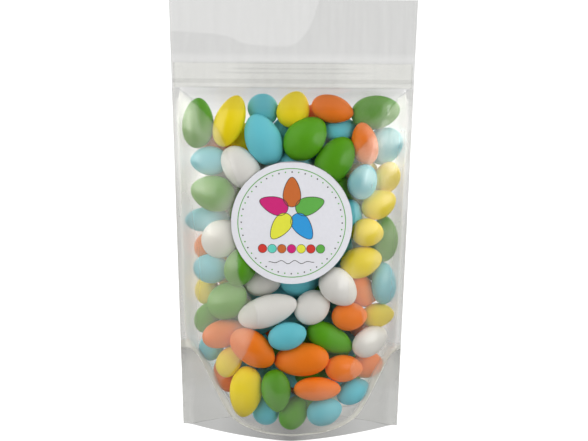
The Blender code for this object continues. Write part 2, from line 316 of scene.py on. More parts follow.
# Film: its grid, with rows as from, to and how many; how it is draped; its small waves
BODY_COLUMNS = 165
SEAL_COLUMNS = 8
FILM_ROWS = (
    (0 * MM, ZIP_BOTTOM, 252),
    (ZIP_BOTTOM, 202 * MM, 60),
    (202 * MM, 231 * MM, 30),
    (231 * MM, HEIGHT, 12),
)
RAY_START = 0.2
FILM_CLEAR = 0.12 * MM
DRAPE_ROUNDS = 500
CREASE_ROUNDS = 4
EDGE_REACH = 5 * MM
EDGE_ROUNDS = 14
TAUTNESS = 0.6
SWELL = 0.16 * MM
WRINKLE = 0.22 * MM
WRINKLE_FROM = 1.5 * MM
WRINKLE_REACH = 12 * MM
WRINKLE_BAND = (48 * MM, 170 * MM)
RIPPLE = 0.1 * MM
RIPPLE_BAND = (178 * MM, 186 * MM)
HEADER_FREE = 208 * MM
HEADER_CREASE = 0.16 * MM
CREASE_HEIGHT = 209.4 * MM
CREASE_ACROSS = (-6 * MM, 28 * MM)
HEADER_SWAY = 0.25 * MM
SEAL_STEP = 0.12 * MM
SEAL_EASE = 2 * MM

# Zip: closure rail, and grip lines above it
ZIP_RAIL = (189.2 * MM, 192.9 * MM)
ZIP_PROUD = 0.24 * MM
ZIP_RAIL_PROUD = 0.14 * MM
ZIP_LINES = (198.3 * MM, 199.8 * MM, 201.3 * MM)
ZIP_LINE_PROUD = 0.1 * MM
ZIP_LINES_REACH = (-22 * MM, 30 * MM)
ZIP_SHOULDER = 0.55 * MM
ZIP_CRUSH = 6 * MM
ZIP_FLANGE = 0.15 * MM
ZIP_RAIL_DEPTH = 0.3 * MM
ZIP_UNDER_FILM = 0.06 * MM
ZIP_HALF_GAP = 0.03 * MM
ZIP_COLUMNS = 80
ZIP_ROWS = 60

# Base: its inner plies, the bead along its weld, and the gusset
WELD_COLUMNS = 120
WELD_ROWS = 24
PLY_GAP = 0.15 * MM
BEAD_COLUMNS = 220
BEAD_ROWS = 7
BEAD_WIDTH = 1.0 * MM
BEAD_PROUD = 0.12 * MM
BEAD_LIFT = 0.04 * MM
GUSSET_COLUMNS = 90
GUSSET_ROWS = 30

# Milk: share of the film that scatters light, which beside the seals is partly painted shade;
# patch: across and height of its lower edge;
# painted zip shades: height, half height, reach across and share
MILK_CLEAR = 0.004
MILK_HEADER = 0.045
MILK_TOP = 0.11
# Grey milk beside the seals, partly scatter and partly painted shade, and where it fades out and
# up
SIDE_MILK_AND_SHADE = 0.15
MILK_TOP_FROM = 172 * MM
SIDE_MILK_AND_SHADE_FADE = (4 * MM, 17 * MM)
SIDE_MILK_AND_SHADE_RISE = (34 * MM, 46 * MM)
SIDE_MILK_AND_SHADE_FALL = (112 * MM, 160 * MM)
MILK_BASE = 0.1
MILK_BASE_REACH = 12 * MM
CLEAR_PATCH = in_mm(
    (-65, 218.2), (-36, 216), (-25, 211.8), (-3, 210.8), (3, 213.4), (9.4, 222.4),
    (13.6, 235))
MILK_WELD = 0.3
ZIP_PAINTED_SHADES = in_mm(
    (202.4, 0.2, 70, 0.04), (198.8, 0.2, 24, 0.05), (196.6, 0.2, 30, 0.05),
    (195.3, 7, 18, 0.05), (192.2, 0.9, 70, 0.06), (183, 5, 34, 0.05), lengths=3)
# Painted shade along each side's long crease: its share, and the heights where it fades in
CREASE_PAINTED_SHADE = 0.12
CREASE_RISE = (148 * MM, 168 * MM)

# Haze: share of the film that mirrors softly; sides: height, how far out the long crease
# lies and the share outside it; patches: across, up, reach across and up, and share
HAZE_LEFT = in_mm(
    (26, 41, 0.08), (38, 31, 0.14), (51, 23, 0.18), (71, 18, 0.19), (93, 28, 0.21),
    (130, 26, 0.19), (151, 32.5, 0.16), (162, 36.4, 0.19), (173, 43.2, 0.18),
    (183, 54.3, 0.14), (190, 63.5, 0.1))
HAZE_RIGHT = in_mm(
    (26, 41, 0.08), (38, 32, 0.13), (50, 36, 0.1), (69, 38, 0.12), (80, 31, 0.15),
    (95, 31, 0.08), (116, 36, 0.07), (128, 34, 0.06), (137, 30, 0.14), (146, 30, 0.12),
    (156, 33.8, 0.12), (165, 41.7, 0.14), (181, 53.5, 0.14), (190, 63.5, 0.1))
HAZE_SIDES = ((-1, HAZE_LEFT), (1, HAZE_RIGHT))
HAZE_PATCHES = in_mm(
    (38, 139, 10.5, 11, 0.23), (-6, 26, 9, 13, 0.1), (55, 158, 12, 14, 0.22),
    (56, 94, 14, 40, 0.17), (40, 79, 10, 9, 0.16), (43, 177, 13, 12, 0.11),
    (13, 17, 24, 17, 0.11), lengths=4)
PATCH_FADE = (0.6, 1.15)
HAZE_FOOT = 6 * MM
HAZE_EDGE = (-0.5 * MM, 0.9 * MM)
HAZE_WELD = 0.45
HAZE_WELD_ACROSS = (8 * MM, 30 * MM)
HAZE_WELD_REACH = 6.5 * MM
HAZE_BEAD = 0.4
HAZE_TINT = (1.0, 0.97, 0.84, 1.0)
HAZE_ROUGHNESS = 0.5

# Film materials; the cloud is the colour of milk, of which a share shines through; the pouch
# film's grey cloud also makes its painted shade
WHITE = (1.0, 1.0, 1.0, 1.0)
CLOUD_THROUGH = 0.12
FILM_LOOKS = {
    "pouch_film": dict(tint=(0.877, 0.877, 0.872), slant_shade=0.74, mirror=0.045,
                       edge_mirror=0.2, roughness=0.06, cloud=(0.29, 0.29, 0.28)),
    "welded_film": dict(tint=(0.78, 0.78, 0.77), slant_shade=1.0, mirror=0.0,
                        edge_mirror=0.06, roughness=0.3, cloud=(0.66, 0.66, 0.65)),
    "zip_plastic": dict(tint=(0.998, 0.998, 0.99), slant_shade=0.9, mirror=0.0,
                        edge_mirror=0.2, roughness=0.1, cloud=(0.9, 0.9, 0.88)),
}


def rise(x, start, end):
    """0 up to start, 1 from end on, and even steps between."""
    return np.clip((np.asarray(x, dtype=float) - start) / (end - start), 0.0, 1.0)


def soft_rise(x, start, end):
    """As rise, with a gentle start and end."""
    t = rise(x, start, end)
    return t * t * (3 - 2 * t)


def wave(place, length, phase=0.0):
    """Sine wave along a place; the length of one radian is in mm."""
    return np.sin(place / (length * MM) + phase)


def along_curve(points, x):
    """Smooth values at x of a curve through (x, value) points."""
    places = np.array([point[0] for point in points])
    values = np.array([point[1] for point in points])
    index = np.clip(np.searchsorted(places, x, side="right") - 1, 0, len(points) - 2)
    before = np.maximum(index - 1, 0)
    after = np.minimum(index + 2, len(points) - 1)
    x0, x1 = places[index], places[index + 1]
    y0, y1 = values[index], values[index + 1]
    slope0 = (y1 - values[before]) / (x1 - places[before])
    slope1 = (values[after] - y0) / (places[after] - x0)
    t = np.clip((x - x0) / (x1 - x0), 0.0, 1.0)
    ease = t * t * (3 - 2 * t)
    bend = t * (1 - t) * ((1 - t) * slope0 - t * slope1) * (x1 - x0)
    return y0 + (y1 - y0) * ease + bend


def half_width(z):
    """Half the pouch's width at height z."""
    return HALF_WIDTH_BASE + (HALF_WIDTH_TOP - HALF_WIDTH_BASE) * z / HEIGHT


def fill_half_width(z):
    """Half the width between the side seals at height z."""
    return half_width(z) - SIDE_SEAL


def lens(x, z, power):
    """Half depth of a lens between the side seals, blunter with a higher power."""
    across = np.minimum(np.abs(x) / fill_half_width(z), 1.0)
    return along_curve(CORE_PROFILE, z) * (1 - across ** power)


def free_of_weld(x, z):
    """0 at the base weld and below it, 1 where the film above no longer feels it."""
    return soft_rise(z - weld_height(x), 0.0, WELD_HOLDS)


def core_depth(x, z):
    """Half depth of the pouch under its bumps, at x across and z up."""
    power = LENS_POWER_BASE + LENS_POWER_GAIN * (z / ZIP_BOTTOM) ** 2
    free = free_of_weld(x, z)
    return free * (WELD_HALF + lens(x, z, power)) + (1 - free) * flap_depth(x, z)


def flap_depth(x, z):
    """Half depth of the film outside the base weld, which runs flat into the side seals."""
    from_seal = np.maximum(fill_half_width(z) - np.abs(x), 0.0)
    return FILM_HALF_GAP + lens(x, z, FLAP_POWER) * (1 - np.exp(-from_seal / SEAL_EASE))


def weld_height(x):
    """Height of the curved base weld at x across."""
    return along_curve(BASE_WELD, np.minimum(np.abs(x - WELD_MIDDLE), BASE_WELD[-1][0]))


def base_height(x):
    """Height of the pouch's bottom edge, which lifts towards its corners."""
    return CORNER_RISE * rise(np.abs(x), FLAT_BASE_HALF, HALF_WIDTH_BASE) ** 2


def room_inside(x, z):
    """Distance from a place on the front to the nearest edge of the filling."""
    to_side = fill_half_width(z) - np.abs(x)
    to_weld = WELD_LEAN * (z - weld_height(x))
    return np.minimum(np.minimum(to_side, to_weld), FILL_TOP - z)


def full_depth(x, z):
    """Half depth of the pouch over its bumps."""
    depth = core_depth(x, z) + BUMP * rise(room_inside(x, z), 0.0, BUMP_FULL_AT)
    return np.minimum(depth, DEPTH_LIMIT)


def slopes(form, first, second, step=1 * MM):
    """Slopes of a form over its two places."""
    return ((form(first + step, second) - form(first - step, second)) / (2 * step),
            (form(first, second + step) - form(first, second - step)) / (2 * step))


def gusset_height(x, y):
    """Height of the film under the almonds."""
    weld = weld_height(x)
    reach = np.maximum(core_depth(x, weld), 1 * MM)
    sag = np.minimum(weld - 0.4 * MM, GUSSET_SAG * reach)
    return weld - sag * (1 - np.minimum(np.abs(y) / reach, 1.0) ** 4)


def make_mesh(name, points, faces, surface):
    """Smooth-shaded object with a mesh of those points and faces, and its material."""
    mesh = bpy.data.meshes.new(name)
    mesh.from_pydata([tuple(point) for point in points], [], [tuple(face) for face in faces])
    mesh.shade_smooth()
    mesh.materials.append(surface)
    piece = bpy.data.objects.new(name, mesh)
    bpy.context.scene.collection.objects.link(piece)
    return piece


def grid_faces(rows, columns, flip=False):
    """Faces of a grid of points, row after row."""
    low = np.arange(rows - 1)[:, None] * columns + np.arange(columns - 1)[None, :]
    corners = (low, low + 1, low + columns + 1, low + columns)
    faces = np.stack([corner.ravel() for corner in corners], axis=1)
    return faces[:, ::-1].tolist() if flip else faces.tolist()


def rim_faces(rows, columns, count, flip=False):
    """Faces that join the rims of a grid and of its copy, whose points come count later."""
    last = (rows - 1) * columns
    rim = list(range(columns)) + [row * columns + columns - 1 for row in range(1, rows)]
    rim += [last + column for column in range(columns - 2, -1, -1)]
    rim += [row * columns for row in range(rows - 2, 0, -1)]
    faces = []
    for here, after in zip(rim, rim[1:] + rim[:1]):
        face = [after, here, here + count, after + count]
        faces.append(face[::-1] if flip else face)
    return faces


# Materials


def new_material(name, build, *settings, **named):
    """Node material from the shader that build makes in its tree from the settings."""
    surface = bpy.data.materials.new(name)
    surface.use_nodes = True
    tree = surface.node_tree
    tree.nodes.clear()
    output = tree.nodes.new("ShaderNodeOutputMaterial")
    tree.links.new(build(tree, *settings, **named), output.inputs["Surface"])
    return surface


def add_node(tree, kind, inputs=None, output=0, **settings):
    """Output of a new node with its settings, values and links; a socket is linked."""
    node = tree.nodes.new(kind)
    for key, value in settings.items():
        setattr(node, key, value)
    for key, value in (inputs or {}).items():
        if isinstance(value, bpy.types.NodeSocket):
            tree.links.new(value, node.inputs[key])
        else:
            node.inputs[key].default_value = value
    return node.outputs[output]


def noise(tree, place, scale, detail, roughness=0.5):
    """Noise over a place, from 0 to 1."""
    return add_node(tree, "ShaderNodeTexNoise", {"Vector": place, "Scale": scale,
                                                 "Detail": detail, "Roughness": roughness})


def remap(tree, value, target, source=(0.0, 1.0)):
    """Value moved from the source range to the target range."""
    return add_node(tree, "ShaderNodeMapRange", {
        "Value": value, "From Min": source[0], "From Max": source[1],
        "To Min": target[0], "To Max": target[1]})


def maths(tree, operation, first, second=0.0):
    """Result of a sum on two values."""
    return add_node(tree, "ShaderNodeMath", {0: first, 1: second}, operation=operation)


def bumpy(tree, height, strength, distance):
    """Normal of a surface roughened by a height."""
    return add_node(tree, "ShaderNodeBump", {"Strength": strength, "Distance": distance,
                                             "Height": height})


def blend(tree, share, first, second):
    """Mix of two shaders by the share of the second."""
    return add_node(tree, "ShaderNodeMixShader", {"Fac": share, 1: first, 2: second})


def own_place(tree):
    """Place on the piece itself."""
    return add_node(tree, "ShaderNodeTexCoord", output="Object")


def stored(tree, name):
    """Value stored at the points of a piece."""
    return add_node(tree, "ShaderNodeAttribute", output="Fac", attribute_name=name)


def ramp(tree, factor, stops):
    """Colour ramp over a factor with (place, colour) stops."""
    colour = add_node(tree, "ShaderNodeValToRGB", {"Fac": factor})
    elements = colour.node.color_ramp.elements
    while len(elements) < len(stops):
        elements.new(0.5)
    for element, (place, shade) in zip(elements, stops):
        element.position = place
        element.color = shade
    return colour


def shade_of(colour, factor):
    """Colour made darker or lighter by a factor, with full alpha."""
    return tuple(min(channel * factor, 1.0) for channel in colour[:3]) + (1.0,)


def sugar_shell(tree, colour):
    """Satin sugar coating: faint mottling, tiny pits and a soft gloss."""
    place = own_place(tree)
    mottle = noise(tree, place, scale=130.0, detail=4.0, roughness=0.6)
    tone = maths(tree, 'ADD', remap(tree, mottle, (0.35, 0.65)), stored(tree, "tone"))
    base = ramp(tree, tone, ((0.2, shade_of(colour, 0.88)), (0.5, shade_of(colour, 1.0)),
                             (0.8, shade_of(colour, 1.08))))
    grain = noise(tree, place, scale=900.0, detail=3.0, roughness=0.55)
    return add_node(tree, "ShaderNodeBsdfPrincipled", {
        "Base Color": base, "Roughness": remap(tree, mottle, (0.36, 0.52)),
        "Normal": bumpy(tree, grain, strength=0.25, distance=0.15 * MM),
        "Specular IOR Level": 0.22})


def clear_film(tree, tint, slant_shade, mirror, edge_mirror, roughness, cloud):
    """Clear packing film: see-through, mirrors more at its edges, and milky grey by its stored
    milk, which on the pouch film also holds painted shade.
    """
    place = own_place(tree)
    waves = noise(tree, place, scale=90.0, detail=2.0)
    normal = bumpy(tree, waves, strength=0.12, distance=0.4 * MM)
    facing = add_node(tree, "ShaderNodeLayerWeight", {"Blend": 0.5, "Normal": normal}, "Facing")
    slant = ramp(tree, facing, ((0.03, shade_of(tint, 1.0)), (0.55, shade_of(tint, slant_shade))))
    through = add_node(tree, "ShaderNodeBsdfTransparent", {"Color": slant})
    gloss, soft = (add_node(tree, "ShaderNodeBsdfGlossy", {"Color": colour, "Roughness": rough,
                                                           "Normal": normal})
                   for colour, rough in ((WHITE, roughness), (HAZE_TINT, HAZE_ROUGHNESS)))
    edge = remap(tree, maths(tree, 'POWER', facing, 5.0), (mirror, edge_mirror))
    hazy = blend(tree, stored(tree, "haze"), blend(tree, edge, through, gloss), soft)
    stretched = add_node(tree, "ShaderNodeMapping", {"Vector": place, "Scale": (1.0, 1.0, 0.12)})
    streaks = noise(tree, stretched, scale=260.0, detail=3.0)
    uneven = remap(tree, streaks, (0.93, 1.07), source=(0.3, 0.7))
    # Stored milk: scatter, and on the film sheets also painted shade
    milk = maths(tree, 'MULTIPLY', uneven, stored(tree, "milk"))
    near = add_node(tree, "ShaderNodeBsdfDiffuse", {"Color": cloud + (1.0,)})
    far = add_node(tree, "ShaderNodeBsdfTranslucent", {"Color": cloud + (1.0,)})
    return blend(tree, milk, hazy, blend(tree, CLOUD_THROUGH, near, far))


def paper(tree, colour):
    """Coated label paper: faint fibre mottling and a soft sheen."""
    fibre = noise(tree, own_place(tree), scale=600.0, detail=5.0, roughness=0.65)
    base = ramp(tree, fibre, ((0.3, shade_of(colour, 0.97)), (0.7, shade_of(colour, 1.02))))
    return add_node(tree, "ShaderNodeBsdfPrincipled", {
        "Base Color": base, "Roughness": 0.42, "Specular IOR Level": 0.4,
        "Normal": bumpy(tree, fibre, strength=0.12, distance=0.05 * MM)})


def white_with_painted_shadow(tree):
    """White of the studio that glows evenly, but for a painted shadow under the pouch."""
    split = add_node(tree, "ShaderNodeSeparateXYZ", {"Vector": own_place(tree)}).node
    aside = maths(tree, 'ABSOLUTE', split.outputs["X"])
    lifted = remap(tree, aside, (0.0, 1.0), source=(FLAT_BASE_HALF, HALF_WIDTH_BASE))
    shown_behind = maths(tree, 'MULTIPLY', maths(tree, 'POWER', lifted, 2.0), PAINTED_SHADOW_SHIFT)
    ahead = maths(tree, 'ABSOLUTE', maths(tree, 'SUBTRACT', split.outputs["Y"], shown_behind))
    across = maths(tree, 'DIVIDE', aside, PAINTED_SHADOW_SIZE[0])
    reach = maths(tree, 'ADD', maths(tree, 'POWER', across, FLAP_POWER),
                  maths(tree, 'DIVIDE', ahead, PAINTED_SHADOW_SIZE[1]))
    # Painted shadow: the glow is least under the middle of the pouch
    under = remap(tree, across, PAINTED_SHADOW_LEVELS, source=(0.05, 0.7))
    strength = remap(tree, reach, (under, BACKDROP), source=(0.97, 1.03))
    return add_node(tree, "ShaderNodeBsdfPrincipled", {
        "Base Color": (0.01, 0.01, 0.01, 1.0), "Roughness": 0.9, "Specular IOR Level": 0.0,
        "Emission Color": WHITE, "Emission Strength": strength})


# Camera


def make_camera():
    """Camera at the photograph's viewing angle."""
    data = bpy.data.cameras.new("camera")
    data.sensor_width = SENSOR
    data.lens = FOCAL_SHARE * SENSOR
    data.clip_start = 0.01
    camera = bpy.data.objects.new("camera", data)
    level = Matrix.Rotation(math.pi / 2 - CAMERA_PITCH, 4, 'X')
    spot = Matrix.Translation((CAMERA_ACROSS, -CAMERA_BACK, CAMERA_UP))
    camera.matrix_world = spot @ level @ Matrix.Rotation(CAMERA_ROLL, 4, 'Z')
    bpy.context.scene.collection.objects.link(camera)
    bpy.context.scene.camera = camera


# Almonds: layout and packing


def seen_on_front(across, up, inset):
    """Place inside the front film that the camera sees at a spot of the middle plane."""
    eye = np.array((CAMERA_ACROSS, -CAMERA_BACK, CAMERA_UP))
    ray = np.array((across, 0.0, up)) - eye
    depth = 0.0
    for _ in range(SIGHT_ROUNDS):
        share = (CAMERA_BACK - depth) / CAMERA_BACK
        spot = eye + ray * share
        wall = float(full_depth(spot[0], np.clip(spot[2], 0.0, FILL_TOP)))
        depth = max(wall - inset, 0.0)
    return spot


def wall_turn(x, z, facing):
    """Turn that lays a flat thing against the front (1) or the back (-1) film."""
    step = 4 * MM
    z = min(max(z, step), FILL_TOP - step)
    across, up = slopes(core_depth, x, z, step)
    normal = Vector((-across, -facing, -up)).normalized()
    start = Vector((0, -facing, 0))
    return start.rotation_difference(normal).to_matrix()


def almond(colour, centre, turn, length, width, facing, hold, pull):
    """One almond as a record: its place, its axes and how firmly it is held."""
    thickness = min(max(THICKNESS_SHARE * width, LEAST_THICKNESS), GREATEST_THICKNESS)
    lie = wall_turn(centre[0], centre[2], facing) @ Matrix.Rotation(-turn, 3, 'Y')
    return {"colour": colour, "centre": np.array(centre, dtype=float), "axes": np.array(lie),
            "half": np.array((length, thickness, width)) / 2, "hold": np.array(hold),
            "turn_hold": FRONT_TURN_HOLD if pull else 1.0, "pull": pull,
            "press": -facing * PRESS}


def front_layer():
    """The almonds that show in front."""
    almonds = []
    for colour, across, up, length, width, turn, layer in FRONT_ALMONDS:
        inset = THICKNESS_SHARE * width * MM / 2 + layer * LAYER_DEPTH
        spot = seen_on_front(across * MM, up * MM, inset)
        almonds.append(almond(colour, spot, math.radians(turn), length * MM, width * MM, 1,
                              FRONT_HOLD, 1.0 if layer == 0 else BEHIND_PULL))
    return almonds


def hidden_layer(draw, rows, row_pitch, per_row, pitch, least_depth, share, colours):
    """Rows of almonds at a share of the way to the back film, where it is deep enough."""
    almonds = []
    for row in range(rows):
        for column in range(per_row):
            stagger = ROW_STAGGER if row % 2 else -ROW_STAGGER
            x = (column - (per_row - 1) / 2 + stagger) * pitch
            x += draw.uniform(-JITTER_MM, JITTER_MM) * MM
            z = LOWEST_ROW + row * row_pitch + draw.uniform(-JITTER_MM, JITTER_MM) * MM
            if room_inside(x, z) < EDGE_MARGIN or full_depth(x, z) < least_depth:
                continue
            length = draw.uniform(*HIDDEN_LENGTH)
            width = draw.uniform(*HIDDEN_WIDTH)
            depth = (float(full_depth(x, z)) - THICKNESS_SHARE * width / 2) * share
            almonds.append(almond(draw.choice(colours), (x, depth, z),
                                  draw.uniform(0, 2 * math.pi), length, width, -1,
                                  (1.0, 1.0, 1.0), 0.0))
    return almonds


def ball(subdivisions):
    """Points and faces of a ball of radius 1."""
    shape = bmesh.new()
    bmesh.ops.create_icosphere(shape, subdivisions=subdivisions, radius=1.0)
    points = np.array([vert.co for vert in shape.verts])
    faces = np.array([[vert.index for vert in face.verts] for face in shape.faces])
    shape.free()
    return points, faces


class Packing:
    """Almonds as ellipsoids that are pushed apart and kept inside the pouch."""

    def __init__(self, almonds):
        self.centre, self.axes, self.half, self.hold, self.turn_hold, self.pull, self.press = (
            np.array([item[key] for item in almonds])
            for key in ("centre", "axes", "half", "hold", "turn_hold", "pull", "press"))
        self.pull = self.pull[:, None]
        self.target = self.centre.copy()
        self.layout = self.axes.copy()
        self.first, self.second = np.triu_indices(len(almonds), 1)
        self.normal = self.unit(self.centre[self.second] - self.centre[self.first])
        self.directions = ball(PROBE_BALL)[0]
        # Inverse inertia of solid ellipsoids of mass 1, about their own axes
        squares = self.half ** 2
        self.inverse_inertia = 5 / (squares.sum(axis=1, keepdims=True) - squares)

    @staticmethod
    def unit(vectors):
        """Vectors of length 1."""
        return vectors / np.maximum(np.linalg.norm(vectors, axis=-1, keepdims=True), TINY)

    def spreads(self):
        """Each ellipsoid's matrix, which gives its furthest point along a direction."""
        return np.einsum("nab,nb,ncb->nac", self.axes, self.half ** 2, self.axes)

    def furthest(self, spread, direction):
        """Furthest point from the centre along a direction."""
        moved = np.einsum("nab,nb->na", spread, direction)
        return moved / np.sqrt(np.einsum("na,na->n", moved, direction))[:, None]

    def response(self, which, arm, direction):
        """How easily almonds give way to a push at the end of an arm, and how they turn."""
        lever = np.cross(arm, direction)
        turned = np.einsum("nab,nb,ncb,nc->na", self.axes[which], self.inverse_inertia[which],
                           self.axes[which], lever)
        turned *= self.turn_hold[which][:, None]
        ease = (self.hold[which] * direction ** 2).sum(axis=1) + (lever * turned).sum(axis=1)
        return ease, turned

    def push(self, moves, which, direction, turned, amount):
        """Add a push to the shifts and spins of almonds."""
        shift, spin = moves
        np.add.at(shift, which, amount[:, None] * direction * self.hold[which])
        np.add.at(spin, which, amount[:, None] * turned)

    def part_pairs(self, moves, spread):
        """Push overlapping almonds apart."""
        between = self.centre[self.second] - self.centre[self.first]
        close = np.linalg.norm(between, axis=1) < NEAR
        i, j, between = self.first[close], self.second[close], between[close]
        normal = self.normal[close]
        for _ in range(CONTACT_STEPS):
            arm_i = self.furthest(spread[i], normal)
            arm_j = self.furthest(spread[j], normal)
            gap = between - arm_i - arm_j
            slide = gap - (gap * normal).sum(axis=1, keepdims=True) * normal
            normal = self.unit(normal + slide / NORMAL_STEP)
        self.normal[close] = normal
        arm_i = self.furthest(spread[i], normal)
        arm_j = self.furthest(spread[j], normal)
        depth = -((between - arm_i - arm_j) * normal).sum(axis=1)
        hit = depth > 0
        i, j, normal, depth = i[hit], j[hit], normal[hit], depth[hit]
        arm_i, arm_j = arm_i[hit], -arm_j[hit]
        ease_i, turned_i = self.response(i, arm_i, -normal)
        ease_j, turned_j = self.response(j, arm_j, normal)
        amount = depth / (ease_i + ease_j)
        self.push(moves, i, -normal, turned_i, amount)
        self.push(moves, j, normal, turned_j, amount)
        return float(depth.sum()), float(depth.max(initial=0.0))

    def keep_inside(self, moves, spread):
        """Push almonds back in where they pass the film."""
        moved = np.einsum("nab,kb->nka", spread, self.directions)
        reach = np.sqrt(np.einsum("nka,ka->nk", moved, self.directions))
        arms = moved / reach[:, :, None]
        points = self.centre[:, None, :] + arms
        x, y, z = points[..., 0], points[..., 1], points[..., 2]
        low_z = np.clip(z, 0.0, FILL_TOP)
        over = np.abs(y) - full_depth(x, low_z)
        beside = np.abs(x) - fill_half_width(z) + SIDE_ROOM
        under = gusset_height(x, y) - z
        above = z - FILL_TOP
        slope_x, slope_z = slopes(full_depth, x, low_z)
        wall = self.unit(np.stack([slope_x, -np.sign(y), slope_z], axis=-1))
        rise_x, rise_y = slopes(gusset_height, x, y)
        floor = self.unit(np.stack([-rise_x, -rise_y, np.ones_like(z)], axis=-1))
        down = np.zeros_like(floor)
        down[..., 2] = -1.0
        across = np.zeros_like(floor)
        across[..., 0] = -np.sign(x)
        everyone = np.arange(len(self.centre))
        for depth, inward in ((over, wall), (beside, across), (under, floor), (above, down)):
            worst = depth.argmax(axis=1)
            amount = depth[everyone, worst]
            hit = amount > 0
            who = everyone[hit]
            direction = inward[who, worst[hit]]
            ease, turned = self.response(who, arms[who, worst[hit]], direction)
            cosine = 1.0
            if depth is over:
                cosine = np.maximum(np.abs(direction[:, 1]), LEAST_COSINE)
            self.push(moves, who, direction, turned, amount[hit] * cosine / ease)

    def turn(self, spin):
        """Turn every almond by its small rotation vector."""
        angle = np.linalg.norm(spin, axis=1)
        capped = spin * (np.minimum(angle, GREATEST_TURN) / np.maximum(angle, TINY))[:, None]
        for index, vector in enumerate(capped):
            amount = float(np.linalg.norm(vector))
            if amount > LEAST_TURN:
                turned = Matrix.Rotation(amount, 3, Vector(vector / amount))
                self.axes[index] = np.array(turned) @ self.axes[index]

    def ease_back(self):
        """Ease the almonds that show in front back to where they are laid out."""
        home = self.target - self.centre
        home[:, 1] = 0.0
        self.centre += PULL_BACK * self.pull * home
        off = sum(np.cross(self.axes[:, :, k], self.layout[:, :, k]) for k in range(3)) / 2
        facing = self.layout[:, :, 1]
        in_view = (off * facing).sum(axis=1, keepdims=True) * facing
        self.turn((TURN_BACK * in_view + TILT_BACK * (off - in_view)) * self.pull)

    def settle(self, rounds):
        """Repeat the pushes until the almonds fit."""
        for step in range(rounds):
            moves = (np.zeros_like(self.centre), np.zeros_like(self.centre))
            spread = self.spreads()
            total, worst = self.part_pairs(moves, spread)
            self.keep_inside(moves, spread)
            self.centre += PACK_EASE * moves[0]
            self.turn(PACK_EASE * moves[1])
            self.ease_back()
            self.centre[:, 1] += self.press * (1 - step / rounds)
        print("packing: overlap left, mm:", round(total / MM, 1), "worst:", round(worst / MM, 2))


def almond_points(round_points, half, draw):
    """A ball's points made into one almond: flattened, one end narrower, slightly uneven."""
    taper = draw.uniform(*ALMOND_TAPER)
    tip = draw.uniform(*ALMOND_TIP)
    along = round_points[:, 0]
    narrow = (1 - taper * along) * (1 - tip * np.clip(along, 0, 1) ** 2)
    shaped = np.stack([along, round_points[:, 1] * narrow, round_points[:, 2] * narrow], axis=1)
    for scale in ALMOND_WAVES:
        swell = np.array([draw.uniform(-1, 1) for _ in range(3)]) * scale
        phase = draw.uniform(0, 2 * math.pi)
        shaped *= 1 + ALMOND_UNEVEN / scale * np.sin(round_points @ swell + phase)[:, None]
    return shaped * half


def build_almonds():
    """Pack the almonds and make one piece of each colour."""
    draw = random.Random(SEED)
    almonds = front_layer() + hidden_layer(draw, **BACK) + hidden_layer(draw, **MIDDLE)
    packing = Packing(almonds)
    packing.settle(PACK_ROUNDS)
    round_points, round_faces = ball(ALMOND_BALL)
    by_colour = {colour: ([], [], []) for colour in COLOURS}
    for index, item in enumerate(almonds):
        points, faces, tones = by_colour[item["colour"]]
        local = almond_points(round_points, packing.half[index], draw)
        faces.append(round_faces + len(local) * len(points))
        points.append(local @ packing.axes[index].T + packing.centre[index])
        tones.append(np.full(len(local), draw.uniform(*SHELL_TONES)))
    pieces = []
    for colour, (points, faces, tones) in by_colour.items():
        shell = new_material("sugar_" + colour, sugar_shell, SHELL_COLOURS[colour])
        piece = make_mesh("almonds_" + colour, np.concatenate(points), np.concatenate(faces),
                          shell)
        set_values(piece, "tone", np.concatenate(tones))
        pieces.append(piece)
    return pieces


# Film


def joined(parts):
    """Points and faces of several (points, faces) parts as one."""
    points = []
    faces = []
    for part_points, part_faces in parts:
        faces += [[index + len(points) for index in face] for face in part_faces]
        points += list(part_points)
    return points, faces


def surface_tree(pieces):
    """Search tree over the almonds' surfaces."""
    parts = [([vert.co.copy() for vert in piece.data.vertices],
              [face.vertices for face in piece.data.polygons]) for piece in pieces]
    return BVHTree.FromPolygons(*joined(parts))


def film_grid():
    """Places of the film's points: across and up, row after row."""
    heights = [np.linspace(low, high, count, endpoint=False) for low, high, count in FILM_ROWS]
    z = np.concatenate(heights + [[HEIGHT]])[:, None]
    body = np.linspace(-1.0, 1.0, BODY_COLUMNS)[None, :]
    seal = np.linspace(0.0, 1.0, SEAL_COLUMNS + 1)[None, 1:]
    inner = fill_half_width(z)
    x = np.concatenate([-inner - SIDE_SEAL * seal[:, ::-1], inner * body,
                        inner + SIDE_SEAL * seal], axis=1)
    return x, np.repeat(z, x.shape[1], axis=1)


def almond_depths(tree, x, z, facing):
    """Depth of the almonds under each point of the film; far inside where there are none."""
    depths = np.full(x.shape, -1.0)
    toward = Vector((0, facing, 0))
    for index in np.ndindex(x.shape):
        if z[index] < FILL_TOP + 4 * MM:
            start = Vector((x[index], -facing * RAY_START, z[index]))
            spot = tree.ray_cast(start, toward)[0]
            if spot is not None:
                depths[index] = -facing * spot.y
    return depths


def ridge(z, low, high, shoulder):
    """1 between two heights, with shoulders that fall to 0."""
    return soft_rise(z, low - shoulder, low) * (1 - soft_rise(z, high, high + shoulder))


def zip_depth(x, z):
    """How far the zip lifts the film from the middle plane."""
    proud = ZIP_PROUD * ridge(z, ZIP_BOTTOM + 0.6 * MM, ZIP_TOP - 0.5 * MM, ZIP_SHOULDER)
    proud = proud + ZIP_RAIL_PROUD * ridge(z, ZIP_RAIL[0] + 0.5 * MM, ZIP_RAIL[1] - 0.5 * MM,
                                           0.6 * MM)
    for height in ZIP_LINES:
        line = ridge(z, height, height, ZIP_SHOULDER) * ridge(x, *ZIP_LINES_REACH, 20 * MM)
        proud = proud + ZIP_LINE_PROUD * line
    return proud * soft_rise(fill_half_width(z) - np.abs(x), 0.0, ZIP_CRUSH)


